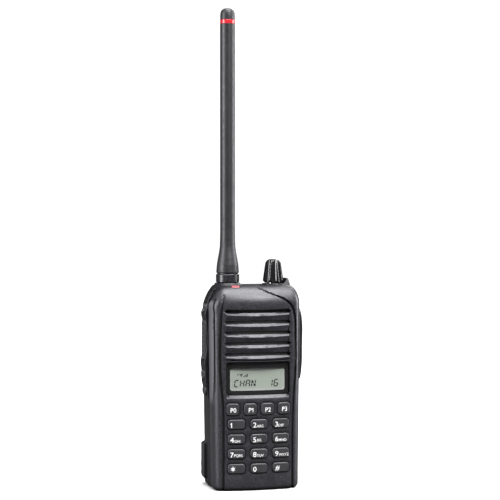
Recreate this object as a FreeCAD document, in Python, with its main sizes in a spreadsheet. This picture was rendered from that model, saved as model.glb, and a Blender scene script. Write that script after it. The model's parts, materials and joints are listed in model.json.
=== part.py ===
import FreeCAD, Part
import math
import os
import re
import Sketcher
from FreeCAD import Placement, Rotation, Vector

# A handheld radio, in millimetres. +Z is up, the keypad faces -Y, the talk button is on the -X side.
# The origin is the centre of the flat base that the radio stands on.

DIMENSIONS = {
    # body
    "body_height": 125, "top_half_width": 27.9, "base_half_width": 26.8, "taper_height": 95,
    "front_depth": 18.25, "back_depth": 18.25, "bow_radius": 104, "front_corner": 6, "rear_corner": 6.2,
    "base_round": 3, "roll_radius": 12, "rear_round": 5, "shoulder_start": 113.5, "shoulder_slope": 0.42,
    "wall": 2, "cast_wall": 2.5,
    # split between front case, chassis and battery
    "seam_depth": 3.5, "seam_gap": 0.15, "seam_knee": 114, "seam_top": 122.5, "seam_front": 10.5,
    "chassis_back": 8, "battery_gap": 0.3, "battery_top": 97.2, "battery_head_gap": 0.5,
    # front panel
    "panel_groove_width": 1.6, "panel_groove_depth": 1.2, "side_groove_width": 1.1, "side_groove_depth": 0.8,
    "ridge_pitch": 6.52, "ridge_top": 107.4, "ridge_half_width": 19.8,
    "slot_half_width": 21.2, "louvre_depth": 1.6, "ridge_sag": 0.6,
    "window_half_width": 20, "window_low": 58.6, "window_high": 78.6, "window_recess": 0.45,
    "window_thickness": 1.4, "window_corner": 2, "part_gap": 0.12,
    # keys
    "key_width": 10.6, "key_tall": 5.9, "key_pitch": 13.9, "key_row_pitch": 9, "bottom_row": 13.9,
    "soft_key_width": 7.9, "soft_key_tall": 7.3, "soft_key_pitch": 10.65, "soft_row": 50,
    "key_corner": 1.9, "key_gap": 0.45, "key_proud": 0.9, "key_flange": 0.5, "key_flange_thick": 0.8,
    "key_edge": 0.7, "key_seat_gap": 0.45,
    # boards and display
    "board_thick": 1, "front_board_y": -11.3, "mat_thick": 0.8, "main_board_y": -1, "speaker_radius": 17.3,
    "speaker_y": -13.2, "speaker_z": 95, "glass_y": -14.3, "glass_thick": 1.3,
    # talk button and side keys, on the -X side
    "pod_front": 3.2, "side_key_front": 2.4, "side_key_back": 6.5, "talk_low": 79,
    "talk_high": 104.2, "side_floor": 26.6, "talk_out": 30.1, "side_key_skin": 27.7, "side_gap": 0.4,
    "middle_key_out": 30.6, "upper_key_out": 29.4, "lower_key_out": 29.8, "foot_out": 24.7, "foot_in": 24.1,
    # volume control
    "knob_x": 14.2, "knob_y": 1, "knob_base": 126.2, "knob_top": 140.7, "knob_radius": 6.4,
    "knob_top_radius": 4.75, "shaft_radius": 3, "running_gap": 0.05, "bush_radius": 3.6, "flute_count": 9,
    "flute_radius": 1.7, "flute_depth": 0.85, "bush_clearance": 0.4, "fin_top": 129, "fin_foot": 117,
    # antenna
    "antenna_x": -14.7, "antenna_y": 2, "collar_low": 126.7, "collar_high": 131.7, "collar_radius": 7.2,
    "sleeve_low": 132.5, "sleeve_radius": 7.05, "flare_mid": 147, "flare_mid_radius": 5, "whip_low": 158,
    "whip_radius": 4.6, "ring_low": 285.8, "ring_high": 288.3, "antenna_top": 295.5, "core_radius": 3,
    "plug_radius": 2.95, "plug_low": 120, "jack_radius": 5,
    # battery
    "battery_wall": 1.3, "lug_low": 4, "lug_high": 28, "lug_half_width": 28.1, "lug_back": 19,
    "cell_width": 20.5, "cell_high": 93, "cell_low": 31, "latch_half_width": 8, "latch_low": 10.3,
    "latch_tall": 9,
    # belt clip
    "clip_half_width": 9.5, "clip_base_low": 68, "clip_base_high": 93,
    "clip_seat": 0.005, "clip_base_thick": 2,
    "clip_pivot_y": 23.4, "clip_pivot_z": 84, "clip_pin_radius": 1.2, "clip_arm_in": 26,
    "clip_arm_thick": 2.1, "clip_toe": 36, "clip_thumb": 97,
    # side jacks, on the +X side
    "cover_low": 66.5, "cover_high": 110.5, "cover_in": 28.15, "cover_edge": 28.95, "cover_out": 30.4,
    "cover_front": 9, "cover_back": 6.2, "socket_radius": 1.75, "small_socket_radius": 1.25,
    # fasteners
    "screw_x": 22.4, "screw_low": 8.5, "screw_high": 50, "screw_radius": 1, "screw_head": 1.9,
}

KEY_ROWS = (("star", "0", "hash"), ("7", "8", "9"), ("4", "5", "6"), ("1", "2", "3"))
LEVELS = (0, 0.4, 1.2, 2.2, 3.4, 12, 40, 70, 95, 104, 109, 113, 115, 117, 119, 121, 122.5, 123.8, 124.6, 125)

doc = FreeCAD.newDocument("HandheldRadio")
sheet = doc.addObject("Spreadsheet::Sheet", "Sheet")
for row, (alias, number) in enumerate(DIMENSIONS.items(), start=1):
    sheet.set(f"A{row}", alias)
    sheet.set(f"B{row}", str(number))
    sheet.setAlias(f"B{row}", alias)
doc.recompute()
nodes = {}


def formula(text):
    """The text as an expression: each dimension's name is read from the sheet."""
    return re.sub(r"[a-z][a-z_]*[a-z]", lambda m: "Sheet." + m[0] if m[0] in DIMENSIONS else m[0], str(text))


def size(text):
    """The number that a formula of dimensions gives now."""
    return float(sheet.evalExpression(formula(text)))


def bind(item, **sizes):
    """Binds properties to formulas; a double underscore in a name is a dot."""
    for name, text in sizes.items():
        item.setExpression(name.replace("__", "."), formula(text))
    return item


def place(item, x=0, y=0, z=0):
    return bind(item, Placement__Base__x=x, Placement__Base__y=y, Placement__Base__z=z)


def keep(item, label):
    """Makes an object the sub-part of this name."""
    item.Label = label
    nodes[label] = item
    return item


def box(x, y, z):
    """A block between a pair of formulas along each axis."""
    item = doc.addObject("Part::Box", "Block")
    bind(item, Length=f"({x[1]})-({x[0]})", Width=f"({y[1]})-({y[0]})", Height=f"({z[1]})-({z[0]})")
    return place(item, x[0], y[0], z[0])


def rod(radius, length, x, y, z, along=(0, 0, 1)):
    """A cylinder from a point, along a direction."""
    item = doc.addObject("Part::Cylinder", "Rod")
    item.Placement = Placement(Vector(), Rotation(Vector(0, 0, 1), Vector(*along)))
    return place(bind(item, Radius=radius, Height=length), x, y, z)


def join(*items):
    if len(items) == 1:
        return items[0]
    item = doc.addObject("Part::MultiFuse", "Joined")
    item.Shapes = list(items)
    return item


def cut(base, *tools):
    item = doc.addObject("Part::Cut", "Cut")
    item.Base = base
    item.Tool = join(*tools)
    return item


def shared(first, second):
    item = doc.addObject("Part::Common", "Shared")
    item.Base = first
    item.Tool = second
    return item


def group(*items):
    """Separate solids that are one sub-part."""
    item = doc.addObject("Part::Compound", "Group")
    item.Links = list(items)
    return item


def rounded(base, radius, chosen):
    """Rounds the edges whose middle point passes a test."""
    doc.recompute()
    item = doc.addObject("Part::Fillet", "Rounded")
    item.Base = base
    picked = []
    for number, edge in enumerate(base.Shape.Edges, start=1):
        middle = edge.valueAt((edge.FirstParameter + edge.LastParameter) / 2)
        if chosen(middle, edge):
            picked.append((number, size(radius), size(radius)))
    item.Edges = picked
    return item


def set_shape(label, shape):
    item = keep(doc.addObject("Part::Feature", label), label)
    item.Shape = shape.removeSplitter()
    return item


def plane_of(body, role):
    return next(item for item in body.Origin.OriginFeatures if item.Role == role)


def new_body(label):
    return keep(doc.addObject("PartDesign::Body", label), label)


def outline(body, role, corners):
    """A closed sketch of straight sides. Each corner is a pair of formulas, driven by the sheet."""
    sketch = body.newObject("Sketcher::SketchObject", "Outline")
    sketch.AttachmentSupport = [(plane_of(body, role), "")]
    sketch.MapMode = "FlatFace"
    points = [Vector(size(x), size(y), 0) for x, y in corners]
    count = len(points)
    for i in range(count):
        sketch.addGeometry(Part.LineSegment(points[i], points[(i + 1) % count]), False)
    for i in range(count):
        sketch.addConstraint(Sketcher.Constraint("Coincident", i, 2, (i + 1) % count, 1))
        for kind, axis, text, number in (
            ("DistanceX", -2, corners[i][0], points[i].x),
            ("DistanceY", -1, corners[i][1], points[i].y),
        ):
            if abs(number) < 1e-9:
                sketch.addConstraint(Sketcher.Constraint("PointOnObject", i, 1, axis))
            else:
                index = sketch.addConstraint(Sketcher.Constraint(kind, i, 1, number))
                sketch.setExpression(f"Constraints[{index}]", formula(text))
    return sketch


def turned(label, corners, x=0, y=0):
    """A body of revolution about the vertical line at x, y, from its half section."""
    body = new_body(label)
    sketch = outline(body, "XZ_Plane", corners)
    spin = body.newObject("PartDesign::Revolution", "Turned")
    spin.Profile = sketch
    spin.ReferenceAxis = (sketch, ["V_Axis"])
    spin.Angle = 360
    place(body, x, y)
    return body


# ---- the outer form of the body ----

def fall(height, radius):
    """How far a quarter round of this radius has fallen away at this height up it."""
    return radius - math.sqrt(max(radius * radius - height * height, 0)) if height > 0 else 0


def form_sizes(level, inset):
    """Half widths, depths and corner radii of the body's section at a level."""
    height = size("body_height")
    share = min(max(level / size("taper_height"), 0), 1)
    width = size("base_half_width") + share * size("top_half_width - base_half_width")
    base = fall(size("base_round") - level, size("base_round"))
    roll = fall(level - height + size("roll_radius"), size("roll_radius"))
    left = width - base - max(0, level - size("shoulder_start")) * size("shoulder_slope") - 0.1 * roll
    right = width - base - 0.4 * roll
    front = size("front_depth") - base - 0.93 * roll
    back = size("back_depth") - base - 0.95 * fall(level - height + size("rear_round"), size("rear_round"))
    return left - inset, right - inset, front - inset, back - inset


def section(level, inset):
    """The body's closed outline at a level: bowed front, round corners, flat sides and back."""
    left, right, front, back = form_sizes(level, inset)
    radius, rear = size("front_corner") - inset / 2, size("rear_corner") - inset
    bow = size("bow_radius")
    edges = []

    def point(x, y):
        return Vector(x, y, level)

    def front_corner(width, side):
        meet = width - 0.62 * radius
        meet_y = -front + meet * meet / (2 * bow)
        centre = width - radius
        centre_y = meet_y + math.sqrt(radius ** 2 - (meet - centre) ** 2)
        half = math.atan2(meet_y - centre_y, meet - centre) / 2
        middle = point(side * (centre + radius * math.cos(half)), centre_y + radius * math.sin(half))
        return point(side * meet, meet_y), middle, point(side * width, centre_y)

    def rear_corner(width, side):
        slack = rear * (1 - math.sqrt(0.5))
        return (
            point(side * width, back - rear),
            point(side * (width - slack), back - slack),
            point(side * (width - rear), back),
        )

    front_right, front_left = front_corner(right, 1), front_corner(left, -1)
    rear_right, rear_left = rear_corner(right, 1), rear_corner(left, -1)
    edges.append(Part.Arc(front_left[0], point(0, -front), front_right[0]).toShape())
    edges.append(Part.Arc(*front_right).toShape())
    edges.append(Part.makeLine(front_right[2], rear_right[0]))
    edges.append(Part.Arc(*rear_right).toShape())
    edges.append(Part.makeLine(rear_right[2], rear_left[2]))
    edges.append(Part.Arc(*reversed(rear_left)).toShape())
    edges.append(Part.makeLine(rear_left[0], front_left[2]))
    edges.append(Part.Arc(*reversed(front_left)).toShape())
    return Part.Wire(edges)


def form(inset=0):
    """The whole body's solid, or the space a wall's thickness inside it."""
    top = size("body_height") - inset
    levels = [inset] + [level for level in LEVELS if inset + 0.1 < level < top - 0.1] + [top]
    return Part.makeLoft([section(level, inset) for level in levels], True, False)


def prism(points, depth_from, depth_to, across="x"):
    """A prism: its outline is (y, z) points and runs along X, or (x, z) points and runs along Y."""
    if across == "x":
        corners = [Vector(depth_from, a, b) for a, b in points]
        sweep = Vector(depth_to - depth_from, 0, 0)
    else:
        corners = [Vector(a, depth_from, b) for a, b in points]
        sweep = Vector(0, depth_to - depth_from, 0)
    return Part.Face(Part.makePolygon(corners + corners[:1])).extrude(sweep)


def block(x, y, z):
    return Part.makeBox(x[1] - x[0], y[1] - y[0], z[1] - z[0], Vector(x[0], y[0], z[0]))


def soft_block(x, y, z, radius, axis):
    """A block whose four edges along an axis are rounded."""
    shape = block(x, y, z)
    edges = [e for e in shape.Edges if abs(abs(e.tangentAt(0).dot(axis)) - 1) < 1e-6]
    return shape.makeFillet(radius, edges)


def bow_turn(x):
    """The angle, in degrees, that the bowed front has turned by at x."""
    return math.degrees(math.asin(x / size("bow_radius")))


def bow_profile(points, half_width, sag=0):
    """A profile of (depth, z) points carried along the bowed front; its middle hangs lower by the sag."""
    front, bow = -size("front_depth"), size("bow_radius")
    face = Part.Face(Part.makePolygon([Vector(0, front + d, z) for d, z in points + points[:1]]))
    level = sum(z for d, z in points) / len(points)
    rise = half_width ** 2 / (2 * bow)
    lean = math.atan2(sag, rise)
    reach = bow / math.cos(lean)
    centre = Vector(0, front + reach * math.cos(lean), level + reach * math.sin(lean))
    axis = Vector(0, -math.sin(lean), math.cos(lean))
    angle = math.degrees(math.asin(half_width / reach))
    face.rotate(centre, axis, -angle)
    return face.revolve(centre, axis, 2 * angle)


def strip(line, half, taper=3):
    """A flat strip of even width about a smooth line of (across, z) points, pointed at its start."""
    middle = Part.BSplineCurve()
    middle.interpolate([Vector(a, 0, z) for a, z in line])
    first, last = middle.FirstParameter, middle.LastParameter
    steps = 24
    sides = ([], [])
    for i in range(steps + 1):
        at = first + (last - first) * i / steps
        along = middle.tangent(at)[0]
        offset = Vector(-along.z, 0, along.x) * half * min(1, i / taper)
        sides[0].append(middle.value(at) + offset)
        sides[1].append(middle.value(at) - offset)
    edges = [Part.makeLine(sides[0][-1], sides[1][-1])]
    for points in sides:
        curve = Part.BSplineCurve()
        curve.interpolate(points)
        edges.append(curve.toShape())
    return Part.Face(Part.Wire(Part.__sortEdges__(edges)))


def front_half():
    """The space of the front case: forward of a seam that steps forward over the top."""
    seam, knee, top = -size("seam_depth"), size("seam_knee"), size("seam_top")
    lip = -size("seam_front")
    return prism([(-40, -10), (seam, -10), (seam, knee), (lip, top), (lip, 150), (-40, 150)], -40, 40)


def rear_half():
    """The space behind the seam, a small gap away."""
    gap = size("seam_gap")
    seam, lip = gap - size("seam_depth"), gap - size("seam_front")
    knee, top = size("seam_knee") + gap, size("seam_top") + gap
    return prism([(40, -10), (seam, -10), (seam, knee), (lip, top), (lip, 150), (40, 150)], -40, 40)


def key_places():
    """Each front key's name, x, z, width and height."""
    for row, names in enumerate(KEY_ROWS):
        for column, name in enumerate(names):
            x = (column - 1) * size("key_pitch")
            z = size("bottom_row") + row * size("key_row_pitch")
            yield "key_" + name, x, z, "key_width", "key_tall"
    for column in range(4):
        x = (column - 1.5) * size("soft_key_pitch")
        yield f"key_p{column}", x, size("soft_row"), "soft_key_width", "soft_key_tall"


def on_bow(shape, x, z):
    """Turns a shape made at the front's middle to its place on the bow."""
    shape.rotate(Vector(0, size("bow_radius - front_depth"), 0), Vector(0, 0, 1), bow_turn(x))
    shape.translate(Vector(0, 0, z))
    return shape


# ---- front case ----

def key_openings():
    cuts = []
    gap, front = size("key_gap"), -size("front_depth")
    for name, x, z, width, tall in key_places():
        w, t = size(width) / 2 + gap, size(tall) / 2 + gap
        radius = size("key_corner") + gap
        hole = soft_block((-w, w), (front - 2, front + 5), (-t, t), radius, Vector(0, 1, 0))
        cuts.append(on_bow(hole, x, z))
    return cuts


def grille_cuts():
    """Louvre faces and the slots between them."""
    cuts = []
    pitch, depth, half = size("ridge_pitch"), size("louvre_depth"), size("ridge_half_width")
    tip, sag = size("slot_half_width"), size("ridge_sag")
    slot_half, crest, rise = 1.05, 0.7, 0.8
    for i in range(5):
        ridge = size("ridge_top") - i * pitch
        slot_mid = ridge + rise + slot_half
        roof = (0, ridge + pitch - crest) if i else (0, slot_mid + slot_half + 0.1)
        hood = (depth, ridge + pitch - 3.6) if i else (depth, slot_mid + slot_half)
        face = [(-1, ridge - crest), (0, ridge - crest), (1.3, ridge + rise), hood, roof, (-1, roof[1])]
        cuts.append(bow_profile(face, half, sag))
        drop = sag * 0.4
        floor = slot_mid - slot_half + drop
        slot = [(-tip, slot_mid + drop), (-half, slot_mid + slot_half), (half, slot_mid + slot_half),
                (tip, slot_mid + drop), (half, floor), (-half, floor)]
        cuts.append(prism(slot, -20, -11, "y"))
    last = size("ridge_top") - 4 * pitch - crest
    cuts.append(bow_profile([(-1, last), (0, last), (1.1, last - 1.5), (-1, last - 1.6)], half, sag))
    return cuts


def display_cuts():
    """The recess for the display window, its opening and the chin bevel under it."""
    gap, front = size("part_gap"), -size("front_depth")
    half, low, high = size("window_half_width") + gap, size("window_low") - gap, size("window_high") + gap
    recess = soft_block((-half, half), (front - 3, 0), (low, high), size("window_corner"), Vector(0, 1, 0))
    depth = size("window_recess + window_thickness") + 2 * gap
    centre = Vector(0, size("bow_radius - front_depth"), 40)
    inner = Part.makeCylinder(size("bow_radius") - depth, 60, centre)
    opening = block((-half + 2, half - 2), (front - 3, front + 7), (low + 1.6, high - 1.6))
    chin = bow_profile([(-1, low + 1), (size("window_recess") + 0.3, low + 1),
                        (size("window_recess") + 0.3, low), (0, low - 1.9), (-1, low - 1.9)], half - 0.6)
    return [recess.cut(inner), opening, chin]


def panel_grooves():
    """The two deep lines that border the centre panel."""
    right = [(1, 123.6), (6, 121.2), (12, 118.8), (17, 116.4), (21, 113), (23.1, 108), (23.8, 99), (24, 88),
             (23.8, 73), (22.7, 60), (21.9, 45), (21.7, 25), (21.7, -2)]
    left = [(-20.6, 120), (-21.6, 116), (-23, 106), (-23.6, 92), (-23.7, 80), (-23.3, 68), (-22.2, 56),
            (-21.7, 40), (-21.7, 20), (-21.7, -2)]
    core = form(size("panel_groove_depth"))
    cuts = []
    for line in (left, right):
        face = strip(line, size("panel_groove_width") / 2)
        face.translate(Vector(0, -30, 0))
        cuts.append(face.extrude(Vector(0, 30, 0)).cut(core))
    return cuts


def side_grooves():
    """The line along each front corner, which runs back at its foot."""
    line = [(-9.6, 52.6), (-11.4, 55.6), (-12.8, 60), (-13.3, 68), (-13.4, 80), (-13.4, 95), (-13.2, 108),
            (-12.4, 117)]
    core = form(size("side_groove_depth"))
    cuts = []
    for side in (-1, 1):
        face = strip(line, size("side_groove_width") / 2)
        face.rotate(Vector(), Vector(0, 0, 1), 90)
        face.translate(Vector(side * 22, 0, 0))
        cuts.append(face.extrude(Vector(side * 10, 0, 0)).cut(core))
    return cuts


def front_bosses():
    posts = []
    for side in (-1, 1):
        for z in (size("screw_low"), size("screw_high")):
            inner, outer = sorted((side * 19.9, side * 25.6))
            posts.append(block((inner, outer), (-9, -size("seam_depth")), (z - 2.4, z + 2.4)))
    return posts


def lens_block(grow):
    """The status light's lens, leaning forward on the front top edge."""
    half, deep, top = 2.7 + grow, 1.4 + grow, 1.1
    shape = soft_block((-half, half), (-deep, deep), (-4, top), 1.25 + grow, Vector(0, 0, 1))
    if not grow:
        shape = shape.makeFillet(0.6, [e for e in shape.Edges if abs(e.CenterOfMass.z - top) < 1e-6])
    shape.rotate(Vector(), Vector(1, 0, 0), 30)
    shape.translate(Vector(-12.6, -9.6, 123.6))
    return shape


def make_front_case():
    wall, seam = size("wall"), size("seam_depth")
    shell = form().common(front_half()).cut(form(wall))
    shell = shell.fuse(front_bosses())
    window_frame = block((-22.2, 22.2), (-17.4, -14.9), (size("window_low") - 1, size("window_high") + 1))
    window_frame = window_frame.common(form(wall / 2))
    shell = shell.fuse(window_frame)
    mic_slots = [block((-19 + 3.4 * i, -16.6 + 3.4 * i), (-20, -13), (79.45, 80.05)) for i in range(2)]
    starts = [Vector(side * size("screw_x"), -8.6, z)
              for side in (-1, 1) for z in (size("screw_low"), size("screw_high"))]
    screws = [Part.makeCylinder(size("screw_radius"), 12, start, Vector(0, 1, 0)) for start in starts]
    small = mic_slots + screws + [lens_block(0.1)]
    for tools in (grille_cuts(), display_cuts(), key_openings(), panel_grooves(), side_grooves(), small):
        shell = shell.cut(tools)
    return set_shape("front_case", shell)


# ---- pieces behind the front case ----

def make_keys():
    for label, x, z, width, tall in key_places():
        body = new_body(label)
        corner = "key_corner"
        sketch = outline(body, "XZ_Plane", [
            (f"-{width}/2", f"-{tall}/2"), (f"{width}/2", f"-{tall}/2"),
            (f"{width}/2", f"{tall}/2"), (f"-{width}/2", f"{tall}/2")])
        cap = body.newObject("PartDesign::Pad", "Cap")
        cap.Profile = sketch
        bind(cap, Length="key_proud + wall + key_seat_gap")
        doc.recompute()
        sides = body.newObject("PartDesign::Fillet", "Corners")
        sides.Base = (cap, [f"Edge{n}" for n, e in enumerate(cap.Shape.Edges, 1)
                            if abs(e.tangentAt(0).y) > 0.9])
        bind(sides, Radius=corner)
        doc.recompute()
        rim = body.newObject("PartDesign::Fillet", "Rim")
        front = min(v.Y for v in sides.Shape.Vertexes)
        rim.Base = (sides, [f"Edge{n}" for n, e in enumerate(sides.Shape.Edges, 1)
                            if abs(e.BoundBox.YMin - front) < 1e-6 and abs(e.BoundBox.YMax - front) < 1e-6])
        bind(rim, Radius="key_edge")
        base = outline(body, "XZ_Plane", [
            (f"-{width}/2-key_gap-key_flange", f"-{tall}/2-key_gap-key_flange"),
            (f"{width}/2+key_gap+key_flange", f"-{tall}/2-key_gap-key_flange"),
            (f"{width}/2+key_gap+key_flange", f"{tall}/2+key_gap+key_flange"),
            (f"-{width}/2-key_gap-key_flange", f"{tall}/2+key_gap+key_flange")])
        flange = body.newObject("PartDesign::Pad", "Flange")
        flange.Profile = base
        flange.Reversed = True
        bind(flange, Length="key_flange_thick")
        turn = bow_turn(x)
        reach = size("bow_radius - wall - key_seat_gap")
        angle = math.radians(turn)
        centre_y = size("bow_radius - front_depth")
        body.Placement = Placement(Vector(reach * math.sin(angle), centre_y - reach * math.cos(angle), z),
                                   Rotation(Vector(0, 0, 1), turn))


def bow_sheet(outer, inner, x, z):
    """A sheet that follows the bow, between two depths behind the front face."""
    centre = "bow_radius - front_depth"
    out = rod(f"bow_radius - ({outer})", f"({z[1]})-({z[0]})", 0, centre, z[0])
    hollow = rod(f"bow_radius - ({inner})", f"({z[1]})-({z[0]})", 0, centre, z[0])
    return shared(cut(out, hollow), box(x, ("-30", "0"), z))


def make_display():
    sheet_solid = bow_sheet("window_recess", "window_recess + window_thickness",
                            ("-window_half_width", "window_half_width"), ("window_low", "window_high"))
    window = rounded(sheet_solid, "window_corner - part_gap",
                     lambda p, e: abs(e.tangentAt(e.FirstParameter).y) > 0.5 and e.Length < 5)
    keep(window, "display_window")
    keep(box(("-17.6", "17.6"), ("glass_y", "glass_y + glass_thick"), (60.8, 75)), "display_glass")
    outer = box(("-19.4", "19.4"), ("glass_y + 0.2", "front_board_y - 0.1"), (59.2, 76.4))
    inner = box(("-17.8", "17.8"), ("glass_y - 1", "glass_y + glass_thick + 0.1"), (60.6, 75.2))
    keep(cut(outer, inner), "display_holder")


def make_front_inside():
    net = bow_sheet("wall + 0.1", "wall + 0.4", ("-22", "22"), ("80.6", "112.4"))
    keep(net, "speaker_net")
    mat_depth = ("front_board_y - mat_thick - 0.1", "front_board_y - 0.1")
    keep(box(("-21.6", "21.6"), mat_depth, (7, 56.4)), "keypad_mat")
    board = box(("-21.6", "21.6"), ("front_board_y", "front_board_y + board_thick"), (5, 76.8))
    holes = [rod(1.1, 4, x, "front_board_y - 1", 73.5, (0, 1, 0)) for x in (-20, 20)]
    keep(cut(board, *holes), "front_board")
    keep(rod(2.3, 2.4, -18.2, -13.4, 79.8, (0, 1, 0)), "microphone")
    set_shape("status_lens", lens_block(0))


def make_speaker():
    """A round speaker that fires forward: frame with its magnet, and the cone in it."""
    frame = turned("speaker_frame", [
        ("0", "-8"), ("10", "-8"), ("10", "-3.4"), ("13.5", "-2.6"), ("speaker_radius", "-1"),
        ("speaker_radius", "0"), ("15.6", "0"), ("15.6", "-0.8"), ("12.6", "-1.9"), ("9", "-2.6"),
        ("9", "-3.2"), ("0", "-3.2")])
    cone = turned("speaker_cone", [
        ("0", "-0.7"), ("4.5", "-1.6"), ("5", "-1.7"), ("12", "-0.5"), ("13.4", "0"), ("15.3", "-0.1"),
        ("15.3", "-0.6"), ("13.3", "-0.8"), ("12", "-1.2"), ("8.6", "-2.3"), ("4.8", "-2.5"), ("0", "-1.3")])
    for part in (frame, cone):
        part.Placement = Placement(Vector(), Rotation(Vector(1, 0, 0), 90))
        place(part, 0, "speaker_y", "speaker_z")


# ---- chassis ----

def pod_shape():
    """The raised rail on the left side that carries the talk button and side keys, with its swells."""
    front, back, inside = -size("pod_front"), size("chassis_back") - 0.1, -22
    profile = [(24.2, 123.3), (26.3, 120.5), (27.5, 118), (28.5, 115.5), (28.9, 112), (30.4, 108),
               (29.9, 104.5), (29.5, 100), (29.5, 85), (30.3, 80.5), (30.7, 77.3), (30.4, 74), (30.2, 70),
               (30.1, 66), (29.3, 62), (28.5, 57), (27.4, 53.5), (26.4, 50)]
    line = Part.BSplineCurve()
    line.interpolate([Vector(-out, front, z) for out, z in profile])
    edge = line.toShape()
    close = Part.makePolygon([edge.Vertexes[-1].Point, Vector(inside, front, 50),
                              Vector(inside, front, 123.3), edge.Vertexes[0].Point])
    face = Part.Face(Part.Wire([edge] + close.Edges))
    solid = face.extrude(Vector(0, back - front, 0))
    rim = [e for e in solid.Edges if e.Length > 60 and e.CenterOfMass.x < -26.5]
    return solid.makeFillet(0.9, rim)


def side_key_table():
    """Name, low and high end, outer face and travel of each control on the left side."""
    return (
        ("side_key_upper", 108.6, 114, size("upper_key_out")),
        ("ptt_button", size("talk_low"), size("talk_high"), size("talk_out")),
        ("side_key_middle", 67, 73.4, size("middle_key_out")),
        ("side_key_lower", 57.2, 63.2, size("lower_key_out")),
    )


def side_key_cuts():
    cuts = []
    gap = size("side_gap")
    front, back = -size("side_key_front") - gap, size("side_key_back") + gap
    for name, low, high, out in side_key_table():
        radius = min(2.4, (high - low) / 2 - 0.2) + gap
        pocket = (-32, -size("side_floor"))
        cuts.append(soft_block(pocket, (front, back), (low - gap, high + gap), radius, Vector(1, 0, 0)))
        mid = (low + high) / 2
        stem = stem_half(low, high) + gap
        cuts.append(block((-30, -20), (0.2 - gap, 3.8 + gap), (mid - stem, mid + stem)))
    return cuts


def stem_half(low, high):
    return min((high - low) / 2 - 1.4, 6)


def make_side_keys():
    """Caps with a stem through the wall and a retaining foot inside it."""
    front, back, skin = -size("side_key_front"), size("side_key_back"), size("side_key_skin")
    for name, low, high, out in side_key_table():
        radius = min(2.4, (high - low) / 2 - 0.2)
        cap = soft_block((-out, -skin), (front, back), (low, high), radius, Vector(1, 0, 0))
        rim = [e for e in cap.Edges if abs(e.BoundBox.XMin + out) < 1e-6 and e.BoundBox.XLength < 1e-6]
        cap = cap.makeFillet(min(0.8, (out - skin) * 0.7), rim)
        mid, half = (low + high) / 2, stem_half(low, high)
        foot_out, foot_in, lip = size("foot_out"), size("foot_in"), 0.8
        stem = block((-skin, -foot_in), (0.2, 3.8), (mid - half, mid + half))
        foot = block((-foot_out, -foot_in), (0.2 - lip, 3.8 + lip), (mid - half - lip, mid + half + lip))
        set_shape(name, cap.fuse([stem, foot]))


def guard_fin():
    """The tapered fin that curves round the knob's outer side and sweeps down to the front."""
    foot, top = size("fin_foot"), size("fin_top")
    rim = [(7.6, foot), (12, foot), (11.3, top - 6.8), (9.5, top - 0.6), (9, top), (8.5, top - 0.3),
           (7.6, top - 2.8)]
    face = Part.Face(Part.makePolygon([Vector(r, 0, z) for r, z in rim + rim[:1]]))
    fin = face.revolve(Vector(), Vector(0, 0, 1), 135)
    fin.rotate(Vector(), Vector(0, 0, 1), -58)
    fin.translate(Vector(size("knob_x"), size("knob_y"), 0))
    sweep = [(-11, foot), (-10, foot + 4.4), (-7, foot + 7.4), (-3, top - 2.2), (0.5, top + 0.1),
             (7, top + 0.1), (11, top - 2.6), (13, foot + 4), (13, foot)]
    return fin.common(prism(sweep, 0, 40))


def top_details():
    """Antenna seat, knob seat and the guard fin beside the knob."""
    top = size("body_height")
    seat = Part.makeCone(11.4, 7.5, 4.4, Vector(size("antenna_x"), size("antenna_y"), top - 3))
    knob_seat = Part.makeCone(7.4, 6.8, 2.8, Vector(size("knob_x"), size("knob_y"), top - 2))
    return [seat, knob_seat, guard_fin()]


def chassis_hollows():
    """The main cavity, the room in the top hump, and the bay that the battery fills."""
    cast, back = size("cast_wall"), size("chassis_back")
    inner = form(cast)
    low_room = block((-40, 40), (-20, back - cast), (0, 130))
    hump_low = size("battery_top + battery_head_gap + cast_wall")
    high_room = block((-40, 40), (-20, 15), (hump_low, 130))
    bay = block((-40, 40), (back, 40), (-5, size("battery_top + battery_head_gap")))
    return [inner.common(low_room.fuse(high_room)), bay]


def contact_places():
    return [(-9 + 6 * i, 15) for i in range(4)]


def make_chassis():
    shell = form().common(rear_half())
    shell = shell.fuse([pod_shape()] + top_details()).cut(chassis_hollows())
    post_depth = (-size("seam_depth - seam_gap"), size("chassis_back"))
    posts = [block(sorted((side * 19.9, side * 25.8)), post_depth, (z - 2.4, z + 2.4))
             for side in (-1, 1) for z in (size("screw_low"), size("screw_high"))]
    shell = shell.fuse(posts)
    cuts = side_key_cuts() + [lens_block(0.1)]
    for side in (-1, 1):
        for z in (size("screw_low"), size("screw_high")):
            start = Vector(side * size("screw_x"), -10, z)
            cuts.append(Part.makeCylinder(size("screw_radius") + 0.15, 30, start, Vector(0, 1, 0)))
            head = Vector(side * size("screw_x"), size("chassis_back") - 1.6, z)
            cuts.append(Part.makeCylinder(size("screw_head") + 0.15, 5, head, Vector(0, 1, 0)))
    bush_hole, jack_hole = size("bush_radius") + 0.1, size("jack_radius")
    cuts.append(Part.makeCylinder(bush_hole, 30, Vector(size("knob_x"), size("knob_y"), 110)))
    cuts.append(Part.makeCylinder(jack_hole, 30, Vector(size("antenna_x"), size("antenna_y"), 110)))
    cuts.append(block((25, 40), (-1.6, 5.2), (79, 101.5)))
    cuts += [Part.makeCylinder(0.9, 6, Vector(x, 4, z), Vector(0, 1, 0)) for x, z in contact_places()]
    head = size("battery_top")
    cuts += [block((x - 3, x + 3), (9.4, 12.6), (head, head + 2.4)) for x in (-12, 12)]
    return set_shape("rear_chassis", shell.cut(cuts))


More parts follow.
